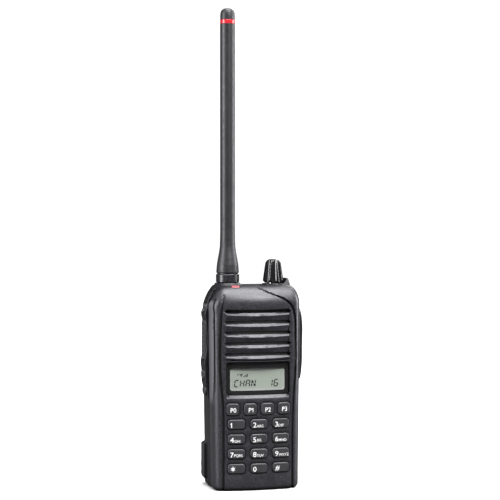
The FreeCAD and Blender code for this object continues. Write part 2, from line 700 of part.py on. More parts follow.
def make_chassis_inside():
    seam = "-seam_depth - 1.1"
    outer = rounded(box(("-24.9", "24.9"), (seam, "-seam_depth + 0.1"), (12.2, 45.8)), 1.5,
                    lambda p, e: abs(e.tangentAt(e.FirstParameter).y) > 0.9)
    inner = box(("-23.9", "23.9"), ("-seam_depth - 3", "0"), (13.2, 44.8))
    keep(cut(outer, inner), "main_seal")
    board = box(("-22.4", "21.2"), ("main_board_y", "main_board_y + board_thick"), (4, 111.5))
    notches = [box((x - 3.2, x + 3.2), ("main_board_y - 1", "main_board_y + 3"), (z - 2.8, z + 2.8))
               for x in (-22.4, 22.4) for z in (8.5, 50)]
    keep(cut(board, *notches), "main_board")
    cans = [box(x, ("main_board_y - 2.6", "main_board_y"), z)
            for x, z in (((-17, 1), (14, 44)), ((3, 18), (14, 44)), ((-16, 16), (54, 74)))]
    keep(group(*cans), "shield_cans")
    switches = [box(("-22.9", "-19.4"), ("0.2", "3.8"), ((low + high) / 2 - 1.8, (low + high) / 2 + 1.8))
                for name, low, high, out in side_key_table()]
    keep(group(*switches), "side_switches")
    pins = [rod(0.8, 3.2, x, "5.0", z, (0, 1, 0)) for x, z in contact_places()]
    keep(group(*pins), "radio_contacts")


def make_screws():
    parts = []
    for side in ("-screw_x", "screw_x"):
        for z in ("screw_low", "screw_high"):
            head = rod("screw_head", 1.3, side, "chassis_back - 1.6", z, (0, 1, 0))
            shank = rod("screw_radius - 0.05", 14, side, "chassis_back - 15.6", z, (0, 1, 0))
            drive = rod(0.8, 1, side, "chassis_back - 0.9", z, (0, 1, 0))
            parts.append(cut(join(head, shank), drive))
    keep(group(*parts), "case_screws")


def make_jacks():
    block_solid = box((21.4, 27.2), (-1.4, 5), (79.3, 101.2))
    big = rod("socket_radius", 12, 17, 1.8, 95, (1, 0, 0))
    small = rod("small_socket_radius", 12, 17, 1.8, 84.5, (1, 0, 0))
    keep(cut(block_solid, big, small), "jack_block")
    set_shape("jack_cover", cover_shape())


def cover_shape():
    """The socket cover: a plate whose outer face swells gently between its thin ends."""
    low, high, out, edge = size("cover_low"), size("cover_high"), size("cover_out"), size("cover_edge")
    front, back, inner = -size("cover_front"), size("cover_back"), size("cover_in")
    profile = [(edge, low), (out - 0.25, low + 9), (out, (low + high) / 2), (out - 0.15, high - 6.5),
               (edge, high)]
    line = Part.BSplineCurve()
    line.interpolate([Vector(x, front, z) for x, z in profile])
    swell = line.toShape()
    close = Part.makePolygon([swell.Vertexes[-1].Point, Vector(inner, front, high),
                              Vector(inner, front, low), swell.Vertexes[0].Point])
    solid = Part.Face(Part.Wire([swell] + close.Edges)).extrude(Vector(0, back - front, 0))
    solid = solid.makeFillet(0.7, [e for e in solid.Edges if e.Length > 30 and e.CenterOfMass.x > edge])
    return solid.common(soft_block((inner - 1, out + 1), (front, back), (low, high), 3, Vector(1, 0, 0)))


# ---- knob ----

def make_knob():
    """A tapered, fluted knob, hollow underneath for the bush, with a pointer line on top."""
    low, top = size("knob_base"), size("knob_top")
    big, small = size("knob_radius"), size("knob_top_radius")
    side = [(0, low), (big - 1.2, low), (big - 0.1, low + 1.1), (big, low + 1.6), (big - 0.15, low + 3.2),
            (small + 0.15, top - 2.2), (small - 0.9, top - 0.7), (small - 2.2, top), (0, top)]
    face = Part.Face(Part.makePolygon([Vector(r, 0, z) for r, z in side + side[:1]]))
    knob = face.revolve(Vector(), Vector(0, 0, 1), 360)
    lean = math.degrees(math.atan2(big - small, top - low - 3))
    count = int(size("flute_count"))
    axis_out = big + size("flute_radius - flute_depth")
    cutters = []
    for i in range(count):
        flute = Part.makeCylinder(size("flute_radius"), 20, Vector(axis_out, 0, low - 1))
        flute.rotate(Vector(big, 0, low), Vector(0, 1, 0), -lean)
        flute.rotate(Vector(), Vector(0, 0, 1), 360 / count * (i + 0.5))
        cutters.append(flute)
    bore = Part.makeCylinder(size("shaft_radius"), top - low - 3, Vector(0, 0, low))
    hollow = Part.makeCylinder(size("bush_radius + bush_clearance"), 1.1, Vector(0, 0, low))
    pointer = block((-0.35, 0.35), (-small - 1, -small + 2.3), (top - 0.35, top + 1))
    knob = knob.cut(cutters + [bore, hollow, pointer])
    knob.translate(Vector(size("knob_x"), size("knob_y"), 0))
    set_shape("volume_knob", knob)


def make_volume_control():
    make_knob()
    keep(rod("shaft_radius", "knob_top - 3.2 - 114", "knob_x", "knob_y", 114), "control_shaft")
    case = box(("knob_x - 5.6", "knob_x + 5.6"), (-2.6, 5.2), (112, 121.4))
    bush = rod("bush_radius", 5.2, "knob_x", "knob_y", 121.4)
    bore = rod("shaft_radius + running_gap", 20, "knob_x", "knob_y", 113.5)
    keep(cut(join(case, bush), bore), "volume_control")


# ---- antenna ----

def make_antenna():
    x, y = "antenna_x", "antenna_y"
    turned("antenna_whip", [
        ("4.6", "sleeve_low - 0.8"), ("sleeve_radius - 0.6", "sleeve_low - 0.8"),
        ("sleeve_radius - 0.6", "sleeve_low"), ("sleeve_radius - 0.15", "sleeve_low"),
        ("sleeve_radius", "sleeve_low + 0.5"), ("sleeve_radius - 0.35", "sleeve_low + 5"),
        ("sleeve_radius - 1.1", "sleeve_low + 9.5"), ("flare_mid_radius + 0.3", "flare_mid - 1.6"),
        ("flare_mid_radius - 0.15", "flare_mid + 1.6"), ("whip_radius + 0.1", "flare_mid + 5"),
        ("whip_radius", "whip_low"), ("whip_radius", "ring_low - 0.2"), ("whip_radius - 0.2", "ring_low"),
        ("core_radius + 0.05", "ring_low"), ("core_radius + 0.05", "140"), ("4.6", "140")], x, y)
    turned("antenna_ring", [
        ("core_radius + 0.05", "ring_low"), ("whip_radius - 0.15", "ring_low"),
        ("whip_radius - 0.05", "ring_low + 0.2"), ("whip_radius - 0.05", "ring_high - 0.2"),
        ("whip_radius - 0.15", "ring_high"), ("core_radius + 0.05", "ring_high")], x, y)
    turned("antenna_cap", [
        ("0", "ring_high + 1.5"), ("core_radius + 0.05", "ring_high + 1.5"),
        ("core_radius + 0.05", "ring_high"), ("whip_radius - 0.2", "ring_high"),
        ("whip_radius - 0.05", "ring_high + 0.3"), ("whip_radius - 0.08", "ring_high + 2.6"),
        ("whip_radius - 0.25", "ring_high + 4.4"), ("whip_radius - 0.75", "antenna_top - 1.5"),
        ("whip_radius - 1.6", "antenna_top - 0.65"), ("whip_radius - 2.8", "antenna_top - 0.15"),
        ("0", "antenna_top")], x, y)
    keep(rod("core_radius", "ring_high + 1.4 - 140.2", x, y, 140.2), "antenna_core")
    turned("antenna_base", [
        ("0", "plug_low"), ("plug_radius - 0.4", "plug_low"), ("plug_radius", "plug_low + 0.4"),
        ("plug_radius", "collar_low"), ("collar_radius - 0.3", "collar_low"),
        ("collar_radius", "collar_low + 0.3"), ("collar_radius", "collar_high - 0.3"),
        ("collar_radius - 0.3", "collar_high"), ("4.5", "collar_high"), ("4.5", "140"), ("0", "140")], x, y)
    tube = rod("jack_radius", 8.4, x, y, 118)
    bore = rod("plug_radius + running_gap", 8, x, y, 119.6)
    keep(cut(tube, bore), "antenna_jack")


# ---- battery ----

def battery_space():
    back = size("chassis_back + battery_gap")
    return block((-40, 40), (back, 40), (-1, size("battery_top")))


def lug_shape():
    """The square-cornered foot across the battery's lower back, with sloped ends."""
    low, high, back = size("lug_low"), size("lug_high"), size("lug_back")
    wide = size("lug_half_width")
    side_on = prism([(8.5, low), (11, low), (back, low + 2.4), (back, high - 2.4), (15, high), (8.5, high)],
                    -wide, wide)
    face_on = prism([(-wide, low + 1), (-wide + 1, low), (wide - 1, low), (wide, low + 1),
                     (wide, high - 2.4), (wide - 2.4, high), (-wide + 2.4, high), (-wide, high - 2.4)],
                    0, 30, "y")
    upright = soft_block((-wide, wide), (6, back), (low - 1, high + 1), 1.6, Vector(0, 0, 1))
    return side_on.common(face_on).common(upright)


def make_battery_case():
    wall, lid = size("battery_wall"), size("chassis_back + battery_gap")
    shell = form().common(battery_space()).fuse(lug_shape())
    hollow = form(wall).common(block((-40, 40), (lid - 1, 16.9), (wall, size("battery_top") - wall)))
    half, low = size("latch_half_width") + 0.3, size("latch_low") - 0.3
    latch_room = block((-half, half), (17.1, 22), (low, low + size("latch_tall") + 3.1))
    stem_room = block((-3.3, 3.3), (15, 20), (low + 2, low + size("latch_tall") + 3.1))
    shell = shell.cut([hollow, latch_room, stem_room])
    head = size("battery_top")
    hooks = [block((x - 2.4, x + 2.4), (10, 12), (head - 1, head + 1.6)) for x in (-12, 12)]
    ribs = [block((side * 20 - 1.5, side * 20 + 1.5), (17.6, 18.7), (34, 62)) for side in (-1, 1)]
    return set_shape("battery_case", shell.fuse(hooks + ribs))


def make_battery_inside():
    lid = "chassis_back + battery_gap"
    plate = box(("-25", "25"), (f"{lid} + 0.05", f"{lid} + 1.1"), (1.5, 95.6))
    windows = [box((x - 1.8, x + 1.8), (f"{lid} - 1", f"{lid} + 3"), (z - 2.5, z + 2.5))
               for x, z in contact_places()]
    corners = [box((x - 2, x + 2), (f"{lid} - 1", f"{lid} + 3"), (1, 5)) for x in (-25, 25)]
    keep(cut(plate, *(windows + corners)), "battery_lid")
    cells = [box((x, f"{x} + cell_width"), (f"{lid} + 1.5", f"{lid} + 8.3"), ("cell_low", "cell_high"))
             for x in ("-cell_width - 0.5", "0.5")]
    cells = [rounded(cell, 1.6, lambda p, e: abs(e.tangentAt(e.FirstParameter).z) > 0.9) for cell in cells]
    keep(group(*cells), "battery_cells")
    keep(box((-21, 21), (f"{lid} + 2.6", f"{lid} + 3.4"), (5, 29)), "battery_board")
    plates = [box((x - 1.6, x + 1.6), (f"{lid} + 0.2", f"{lid} + 2.5"), (z - 2.2, z + 2.2))
              for x, z in contact_places()]
    keep(group(*plates), "battery_contacts")


def make_latch():
    half, low, tall = size("latch_half_width"), size("latch_low"), size("latch_tall")
    slider = soft_block((-half, half), (17.4, 18.9), (low, low + tall), 1, Vector(0, 1, 0))
    levels = [low + 1.2 + 1.7 * i for i in range(5)]
    ridges = [block((-half + 1.2, half - 1.2), (18.8, 19.5), (level, level + 0.8)) for level in levels]
    stem = block((-3, 3), (15.3, 17.5), (low + 2, low + 8))
    set_shape("battery_latch", slider.fuse(ridges + [stem]))
    set_shape("latch_spring", coil(0.85, 0.2, 1.1, 3.3, Vector(0, 16.2, low + 8.05)))


def coil(radius, wire, pitch, length, start, along=Vector(0, 0, 1)):
    """A helical spring from a point, along a direction."""
    spine = Part.makeHelix(pitch, length, radius)
    ring = Part.Wire(Part.makeCircle(wire, Vector(radius, 0, 0), Vector(0, 1, 0)))
    spring = Part.Wire(spine).makePipeShell([ring], True, True)
    spring.Placement = Placement(start + along * wire, Rotation(Vector(0, 0, 1), along))
    return spring


# ---- belt clip ----

def make_clip():
    """Base plate with two ears, a sprung lever on a pin, and the spring round the pin."""
    py, pz, pin = size("clip_pivot_y"), size("clip_pivot_z"), size("clip_pin_radius")
    back, half = size("back_depth"), size("clip_half_width")
    thick, low, high = size("clip_base_thick"), size("clip_base_low"), size("clip_base_high")
    start = back + size("clip_seat")
    plate = soft_block((-half, half), (start, back + thick), (low, high), 2, Vector(0, 1, 0))
    ear_line = [(back + 1, pz - 5), (py - 0.5, pz - 2.6), (py + 2, pz - 1), (py + 2, pz + 1.2),
                (py, pz + 2.4), (back + 1, pz + 5)]
    ears = [prism(ear_line, x, x + 2) for x in (-6.4, 4.4)]
    hole = Part.makeCylinder(pin, 40, Vector(-20, py, pz), Vector(1, 0, 0))
    set_shape("clip_base", plate.fuse(ears).cut(hole))
    set_shape("clip_pin", Part.makeCylinder(pin, 2 * half - 2, Vector(1 - half, py, pz), Vector(1, 0, 0)))
    set_shape("clip_lever", lever_shape(py, pz, pin + size("running_gap")))
    set_shape("clip_spring", coil(pin + 0.6, 0.3, 0.95, 6.4, Vector(-3.6, py, pz), Vector(1, 0, 0)))


def lever_shape(py, pz, bore):
    """The long arm: a thumb tab above the pivot, a straight arm and a toe that reaches the battery."""
    half, inner, thick = size("clip_half_width"), size("clip_arm_in"), size("clip_arm_thick")
    toe, thumb, back = size("clip_toe"), size("clip_thumb"), size("back_depth")
    line = [(inner, thumb), (inner, pz), (inner, toe + 9), (inner - 2.2, toe + 4.2), (back + 0.9, toe + 3),
            (back + 0.6, toe + 0.8), (inner - 1, toe), (inner + 1.2, toe + 2.2), (inner + thick, toe + 8),
            (inner + thick + 0.4, pz - 12), (inner + thick, pz + 2), (inner + thick, thumb)]
    arm = prism(line, -half, half)
    edges = [e for e in arm.Edges if abs(e.tangentAt(0).x) < 0.1 and e.CenterOfMass.y > inner + 1]
    arm = arm.makeFillet(1.4, [e for e in edges if abs(e.CenterOfMass.x) > half - 1e-6])
    ear_line = [(inner + 0.5, pz - 4), (py - 1.6, pz - 1.2), (py - 1.6, pz + 1.2), (inner + 0.5, pz + 4)]
    ears = [prism(ear_line, x, x + 1.8) for x in (-half + 0.8, half - 2.6)]
    hole = Part.makeCylinder(bore, 40, Vector(-20, py, pz), Vector(1, 0, 0))
    levels = [pz + 4 + 2 * i for i in range(4)]
    surface = inner + thick
    grips = [block((-half + 2, half - 2), (surface - 0.35, surface + 2), (level, level + 0.8))
             for level in levels]
    return arm.fuse(ears).cut([hole] + grips)


# ---- build, check and write ----

def build():
    make_front_case()
    make_keys()
    make_display()
    make_front_inside()
    make_speaker()
    make_chassis()
    make_chassis_inside()
    make_side_keys()
    make_screws()
    make_jacks()
    make_volume_control()
    make_antenna()
    make_battery_case()
    make_battery_inside()
    make_latch()
    make_clip()
    doc.recompute()


def check():
    for item in doc.Objects:
        if "Invalid" in item.State or "Error" in item.State:
            raise RuntimeError(f"{item.Label} did not build: {item.State}")
    for label, item in nodes.items():
        if item.Shape.isNull() or not item.Shape.isValid() or not item.Shape.Solids:
            raise RuntimeError(f"{label} has no valid solid")


def write():
    os.makedirs("parts", exist_ok=True)
    for label, item in nodes.items():
        item.Shape.exportStep(os.path.join("parts", label + ".step"))
        print(label, len(item.Shape.Solids), "solids", round(item.Shape.Volume, 1), "mm3")


build()
check()
write()
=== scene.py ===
import json
import math

import bmesh
import bpy
from mathutils import Matrix, Vector


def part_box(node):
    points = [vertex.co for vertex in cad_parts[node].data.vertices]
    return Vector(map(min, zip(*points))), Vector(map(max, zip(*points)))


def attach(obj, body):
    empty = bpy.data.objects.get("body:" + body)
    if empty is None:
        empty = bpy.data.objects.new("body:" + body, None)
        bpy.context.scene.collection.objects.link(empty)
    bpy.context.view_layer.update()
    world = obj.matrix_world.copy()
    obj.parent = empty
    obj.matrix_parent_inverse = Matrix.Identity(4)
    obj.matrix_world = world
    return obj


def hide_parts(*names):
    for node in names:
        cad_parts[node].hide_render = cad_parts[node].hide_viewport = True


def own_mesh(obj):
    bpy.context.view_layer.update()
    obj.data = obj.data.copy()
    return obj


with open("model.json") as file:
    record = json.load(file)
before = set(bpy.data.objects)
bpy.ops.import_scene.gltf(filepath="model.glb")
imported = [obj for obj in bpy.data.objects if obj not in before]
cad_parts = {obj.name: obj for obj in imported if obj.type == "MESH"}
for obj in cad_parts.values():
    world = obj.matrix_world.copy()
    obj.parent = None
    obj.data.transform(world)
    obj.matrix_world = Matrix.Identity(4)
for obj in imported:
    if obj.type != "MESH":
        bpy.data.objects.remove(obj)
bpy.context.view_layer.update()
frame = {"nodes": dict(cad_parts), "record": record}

# The looks of a handheld radio. Metres, in the CAD's frame: +Z up, keypad facing -Y, talk button on the
# -X side.

MM = 0.001
NODES = frame["nodes"]

# the bow of the front panel
BOW_RADIUS = 104 * MM

# half the thickness of printed lettering
INK_HALF = 0.02 * MM

KEYS = {
    "key_1": ("1", ""), "key_2": ("2", "ABC"), "key_3": ("3", "DEF"),
    "key_4": ("4", "GHI"), "key_5": ("5", "JKL"), "key_6": ("6", "MNO"),
    "key_7": ("7", "PQRS"), "key_8": ("8", "TUV"), "key_9": ("9", "WXYZ"),
    "key_star": ("*", ""), "key_0": ("0", ""), "key_hash": ("#", ""),
}
SOFT_KEYS = {"key_p0": "P0", "key_p1": "P1", "key_p2": "P2", "key_p3": "P3"}


# ---- materials ----

class Shader:
    """A Principled material with short calls for the nodes that feed it."""

    def __init__(self, name, color, roughness, **values):
        material = bpy.data.materials.new(name)
        material.use_nodes = True
        self.open(material)
        self.set("Base Color", (*color, 1))
        self.set("Roughness", roughness)
        for key, value in values.items():
            self.set(key.replace("_", " "), value)

    @classmethod
    def of(cls, material):
        """A shader that goes on from a material already made."""
        shader = cls.__new__(cls)
        shader.open(material)
        return shader

    def open(self, material):
        self.material = material
        self.tree = material.node_tree
        self.principled = self.tree.nodes["Principled BSDF"]
        self.coordinates = self.node("ShaderNodeTexCoord").outputs["Object"]
        self.normal = None

    def node(self, kind, **inputs):
        made = self.tree.nodes.new(kind)
        for key, value in inputs.items():
            self.feed(made.inputs[key.replace("_", " ")], value)
        return made

    def feed(self, socket, value):
        if isinstance(value, bpy.types.NodeSocket):
            self.tree.links.new(value, socket)
        else:
            socket.default_value = value

    def set(self, key, value):
        self.feed(self.principled.inputs[key], value)

    def noise(self, size, detail=2, stretch=(1, 1, 1)):
        """Noise from 0 to 1 whose grains are about this size, in metres."""
        place = self.node("ShaderNodeMapping", Vector=self.coordinates)
        place.inputs["Scale"].default_value = [1 / (size * s) for s in stretch]
        made = self.node("ShaderNodeTexNoise", Vector=place.outputs[0], Scale=1.0, Detail=detail)
        return made.outputs[0]

    def between(self, factor, low, high, start=0.3, end=0.7):
        """Maps a factor's range onto another range."""
        made = self.node("ShaderNodeMapRange", Value=factor, To_Min=low, To_Max=high)
        made.inputs["From Min"].default_value = start
        made.inputs["From Max"].default_value = end
        return made.outputs[0]

    def math(self, operation, *values):
        made = self.node("ShaderNodeMath")
        made.operation = operation
        for socket, value in zip(made.inputs, values):
            self.feed(socket, value)
        return made.outputs[0]

    def blend(self, factor, first, second):
        """A colour between two, by a factor."""
        made = self.node("ShaderNodeMix")
        made.data_type = "RGBA"
        self.feed(made.inputs[0], factor)
        self.feed(made.inputs[6], (*first, 1))
        self.feed(made.inputs[7], (*second, 1))
        return made.outputs[2]

    def shaded(self, color, reach, darkest):
        """The same colour with painted shade: darker in crevices within a distance."""
        made = self.node("ShaderNodeAmbientOcclusion", Distance=reach)
        made.samples = 8
        level = self.between(made.outputs["AO"], darkest, 1, 0.4, 0.98)
        mix = self.node("ShaderNodeMix")
        mix.data_type = "RGBA"
        mix.blend_type = "MULTIPLY"
        self.feed(mix.inputs[0], 1.0)
        self.feed(mix.inputs[6], color)
        self.feed(mix.inputs[7], level)
        return mix.outputs[2]

    def bump(self, height, depth, strength=1.0):
        """Adds relief of this depth, in metres, to the surface."""
        made = self.node("ShaderNodeBump", Height=height, Strength=strength, Distance=depth)
        if self.normal:
            self.feed(made.inputs["Normal"], self.normal)
        self.normal = made.outputs[0]
        self.set("Normal", self.normal)


def moulded(name, color, roughness, grain=0.5 * MM, depth=0.055 * MM, shine=0.5):
    """Spark-eroded moulded plastic: fine grain, slight random changes of tone, soft handling marks and
    painted shade in crevices.
    """
    shader = Shader(name, color, roughness)
    dark, light = [c * 0.45 for c in color], [c * 2.2 for c in color]
    specks = shader.between(shader.noise(0.75 * MM, 2), 0, 1, 0.36, 0.64)
    cloud = shader.math("MULTIPLY", specks, shader.between(shader.noise(6 * MM, 4), 0.75, 1))
    # painted shade: the colour darkens in crevices within 2.5 mm
    shader.set("Base Color", shader.shaded(shader.blend(cloud, dark, light), 2.5 * MM, 0.12))
    marks = shader.noise(9 * MM, 5, (1, 1, 2.2))
    shader.set("Roughness", shader.between(marks, roughness - 0.02, roughness + 0.03))
    shader.bump(shader.noise(grain, 3), depth)
    shader.set("Specular Tint", (0.96, 0.955, 1, 1))
    shader.set("Specular IOR Level", shine)
    return shader.material


def case_plastic(name, color, roughness, painted_highlight_color):
    """The moulded front's plastic, with a painted highlight: a lighter band behind each front corner."""
    material = moulded(name, color, roughness)
    shader = Shader.of(material)
    split = shader.node("ShaderNodeSeparateXYZ", Vector=shader.coordinates)
    out = shader.math("ABSOLUTE", split.outputs[0])
    # painted highlight: the sides behind the front corners get a lighter colour where the side lights catch
    # them
    mask = shader.between(out, 0, 1, 26.6 * MM, 27.3 * MM)
    mask = shader.math("MULTIPLY", mask, shader.between(split.outputs[1], 0, 1, -13.4 * MM, -12.9 * MM))
    mask = shader.math("MULTIPLY", mask, shader.between(split.outputs[1], 1, 0, -3 * MM, 1 * MM))
    mask = shader.math("MULTIPLY", mask, shader.between(split.outputs[2], 0, 1, 52 * MM, 57 * MM))
    plain = shader.principled.inputs["Base Color"].links[0].from_socket
    mix = shader.node("ShaderNodeMix")
    mix.data_type = "RGBA"
    for index, value in ((0, mask), (6, plain), (7, (*painted_highlight_color, 1))):
        shader.feed(mix.inputs[index], value)
    shader.set("Base Color", mix.outputs[2])
    return material


def rubber(name, color, roughness=0.55, depth=0.01 * MM):
    """Matte silicone or rubber: very fine texture, a faint bloom and painted shade in crevices."""
    shader = Shader(name, color, roughness, Sheen_Weight=0.04, Sheen_Roughness=0.5)
    shader.set("Specular Tint", (0.96, 0.955, 1, 1))
    bloom = [c * 1.35 + 0.003 for c in color]
    surface = shader.blend(shader.between(shader.noise(4 * MM, 5), 0, 1), color, bloom)
    # painted shade: the colour darkens in crevices within 1.2 mm
    shader.set("Base Color", shader.shaded(surface, 1.2 * MM, 0.2))
    shader.set("Roughness", shader.between(shader.noise(2.5 * MM, 3), roughness - 0.06, roughness + 0.06))
    shader.bump(shader.noise(0.2 * MM, 2), depth)
    return shader.material


def gloss(name, color, roughness=0.14):
    """Polished plastic with a slight ripple from the mould and fine dust marks."""
    shader = Shader(name, color, roughness, Coat_Weight=0.3, Coat_Roughness=0.08)
    shader.set("Roughness", shader.between(shader.noise(4 * MM, 3), roughness - 0.02, roughness + 0.03))
    shader.bump(shader.noise(4 * MM, 1), 0.002 * MM)
    return shader.material


def metal(name, color, roughness=0.3, stretch=(1, 1, 12)):
    """Plated or brushed metal with fine lines."""
    shader = Shader(name, color, roughness, Metallic=1.0)
    lines = shader.noise(0.12 * MM, 2, stretch)
    shader.set("Roughness", shader.between(lines, roughness - 0.07, roughness + 0.1))
    shader.bump(lines, 0.002 * MM)
    return shader.material


def printed(name, color, roughness=0.5):
    """Screen printed ink, a little uneven."""
    shader = Shader(name, color, roughness)
    darker = [c * 0.86 for c in color]
    shader.set("Base Color", shader.blend(shader.between(shader.noise(0.5 * MM, 4), 0, 1), color, darker))
    shader.bump(shader.noise(0.15 * MM, 2), 0.004 * MM)
    return shader.material


def woven(name, color, pitch=0.45 * MM):
    """A black net cloth: threads both ways."""
    shader = Shader(name, color, 0.8)
    split = shader.node("ShaderNodeSeparateXYZ", Vector=shader.coordinates)
    waves = [shader.math("SINE", shader.math("MULTIPLY", split.outputs[axis], 2 * math.pi / pitch))
             for axis in (0, 2)]
    threads = shader.math("MAXIMUM", *waves)
    hole = [c * 0.15 for c in color]
    shader.set("Base Color", shader.blend(shader.between(threads, 0, 1, -0.6, 0.9), hole, color))
    shader.bump(threads, 0.06 * MM)
    return shader.material


def board(name, color):
    """Circuit board under its green mask, with faint copper tracks."""
    shader = Shader(name, color, 0.35)
    tracks = shader.node("ShaderNodeTexBrick", Vector=shader.coordinates, Scale=260.0)
    for key, shade in (("Color1", 1.0), ("Color2", 1.15), ("Mortar", 1.9)):
        tracks.inputs[key].default_value = (*[c * shade for c in color], 1)
    shader.set("Base Color", tracks.outputs[0])
    shader.bump(tracks.outputs[1], 0.03 * MM)
    return shader.material


def clear_lens(name):
    """The display window: thin clear plastic with soft reflections."""
    shader = Shader(name, (0.01, 0.01, 0.011), 0.06, IOR=1.46)
    shader.set("Alpha", 0.16)
    shader.set("Specular IOR Level", 0.18)
    shader.set("Roughness", shader.between(shader.noise(2 * MM, 5), 0.04, 0.1))
    shader.bump(shader.noise(5 * MM, 1), 0.004 * MM)
    shader.material.surface_render_method = "BLENDED"
    return shader.material


def liquid_crystal(name, color):
    """Grey-green reflective display glass with its faint grid and a faint painted glow that lightens the
    field.
    """
    shader = Shader(name, color, 0.3)
    grid = shader.node("ShaderNodeTexBrick", Vector=shader.coordinates, Scale=900.0)
    grid.offset = 0.0
    for key, shade in (("Color1", 1.0), ("Color2", 1.0), ("Mortar", 0.94)):
        grid.inputs[key].default_value = (*[c * shade for c in color], 1)
    shader.set("Base Color", grid.outputs[0])
    # painted light: a faint glow in the glass's own colour lightens the field and evens out the shade under
    # the window frame
    shader.set("Emission Color", (*color, 1))
    shader.set("Emission Strength", 0.22)
    shader.bump(shader.noise(0.3 * MM, 1), 0.003 * MM)
    return shader.material


def lit_lens(name, color, rim, glow):
    """A diffusing coloured lens, faintly lit from inside, with a paler lower rim."""
    shader = Shader(name, color, 0.38, Subsurface_Weight=0.2, Subsurface_Scale=1 * MM)
    shader.set("Emission Color", (*glow, 1))
    shader.set("Emission Strength", 0.08)
    height = shader.node("ShaderNodeSeparateXYZ", Vector=shader.coordinates).outputs[2]
    edge = shader.between(height, 0, 1, 123.1 * MM, 123.7 * MM)
    shader.set("Base Color", shader.blend(edge, rim, color))
    shader.bump(shader.noise(0.5 * MM, 1), 0.004 * MM)
    return shader.material


def make_materials():
    return {
        # the last colour of case_plastic is the painted highlight on the sides behind the front corners
        "case_plastic": case_plastic("case_plastic", (0.015, 0.015, 0.018), 0.38, (0.12, 0.12, 0.132)),
        "chassis_paint": moulded("chassis_paint", (0.006, 0.006, 0.0072), 0.4, shine=0.3),
        "key_rubber": rubber("key_rubber", (0.02, 0.02, 0.022), 0.42),
        "side_rubber": rubber("side_rubber", (0.006, 0.006, 0.007), 0.42),
        # painted highlight: a lighter copy of the side keys' rubber, for their rims and ribs
        "rim_highlight_rubber": rubber("rim_highlight_rubber", (0.07, 0.07, 0.075), 0.4),
        "mat_rubber": rubber("mat_rubber", (0.008, 0.008, 0.008), 0.6),
        "window_plastic": clear_lens("window_plastic"),
        "display_glass": liquid_crystal("display_glass", (0.43, 0.48, 0.42)),
        "inner_plastic": moulded("inner_plastic", (0.02, 0.02, 0.02), 0.5),
        "net_cloth": woven("net_cloth", (0.004, 0.004, 0.0045)),
        "circuit_board": board("circuit_board", (0.01, 0.07, 0.03)),
        "bright_metal": metal("bright_metal", (0.62, 0.62, 0.6)),
        "contact_gold": metal("contact_gold", (0.83, 0.62, 0.26), 0.25),
        "cone_paper": moulded("cone_paper", (0.012, 0.012, 0.013), 0.7),
        "status_lens": lit_lens("status_lens", (0.17, 0.02, 0.03), (0.5, 0.4, 0.41), (1, 0.12, 0.18)),
        "knob_plastic": gloss("knob_plastic", (0.008, 0.008, 0.009)),
        "antenna_rubber": rubber("antenna_rubber", (0.007, 0.007, 0.0083), 0.46, 0.005 * MM),
        "ring_red": gloss("ring_red", (0.45, 0.012, 0.02), 0.3),
        "dark_metal": moulded("dark_metal", (0.012, 0.012, 0.014), 0.28, 0.15 * MM, 0.004 * MM),
        "cell_wrap": gloss("cell_wrap", (0.02, 0.05, 0.16), 0.25),
        "spring_steel": metal("spring_steel", (0.5, 0.5, 0.5)),
        # painted shade: a near-black matte for the faces inside the panel's grooves
        "painted_groove_shade": moulded("painted_groove_shade", (0.0015, 0.0015, 0.0015), 0.8),
        "white_ink": printed("white_ink", (0.86, 0.86, 0.86)),
        "segment_ink": printed("segment_ink", (0.012, 0.022, 0.014), 0.4),
        "lens_border": printed("lens_border", (0.003, 0.003, 0.003), 0.8),
        "rim_print": printed("rim_print", (0.66, 0.68, 0.66)),
    }


MATERIALS = make_materials()


# ---- CAD nodes: materials and softened edges ----

ROUND_EDGES = {
    "front_case": 0.22, "rear_chassis": 0.2, "battery_case": 0.2, "battery_latch": 0.15, "clip_lever": 0.2,
    "clip_base": 0.2, "volume_knob": 0.14, "status_lens": 0.1, "jack_block": 0.15, "main_seal": 0.1,
    "jack_cover": 0.3,
}


def paint_nodes():
    slots = {s["node"]: s["material_slot"] for s in frame["record"]["subparts"]}
    for name, node in NODES.items():
        node.data.materials.clear()
        node.data.materials.append(MATERIALS[slots[name]])


PANEL_LINES = (
    ((1, 123.6), (6, 121.2), (12, 118.8), (17, 116.4), (21, 113), (23.1, 108), (23.8, 99), (24, 88),
     (23.8, 73), (22.7, 60), (21.9, 45), (21.7, 25), (21.7, -2)),
    ((-20.6, 120), (-21.6, 116), (-23, 106), (-23.6, 92), (-23.7, 80), (-23.3, 68), (-22.2, 56),
     (-21.7, 40), (-21.7, 20), (-21.7, -2)),
)
CORNER_LINE = ((-9.6, 52.6), (-11.4, 55.6), (-12.8, 60), (-13.3, 68), (-13.4, 80), (-13.4, 95), (-13.2, 108),
               (-12.4, 117))


def line_distance(point, line):
    """The distance from a point to a run of straight spans, in the plane of both."""
    nearest = 1.0
    for first, last in zip(line, line[1:]):
        start, end = Vector(first) * MM, Vector(last) * MM
        share = (point - start).dot(end - start) / (end - start).length_squared
        foot = start + (end - start) * min(1, max(0, share))
        nearest = min(nearest, (point - foot).length)
    return nearest


def paint_groove_shade():
    """Painted shade: the faces in the grooves round the panel get a matte black where the deep grooves lie
    in shade.
    """
    data = NODES["front_case"].data
    data.materials.append(MATERIALS["painted_groove_shade"])
    reach = 0.66 * MM
    for face in data.polygons:
        middle = face.center
        front = Vector((middle.x, middle.z))
        side = Vector((middle.y, middle.z))
        near_line = any(line_distance(front, line) < reach for line in PANEL_LINES)
        in_panel = abs(middle.x) < 24.8 * MM and near_line
        in_corner = abs(middle.x) > 25 * MM and line_distance(side, CORNER_LINE) < reach
        if in_panel or in_corner:
            face.material_index = 1


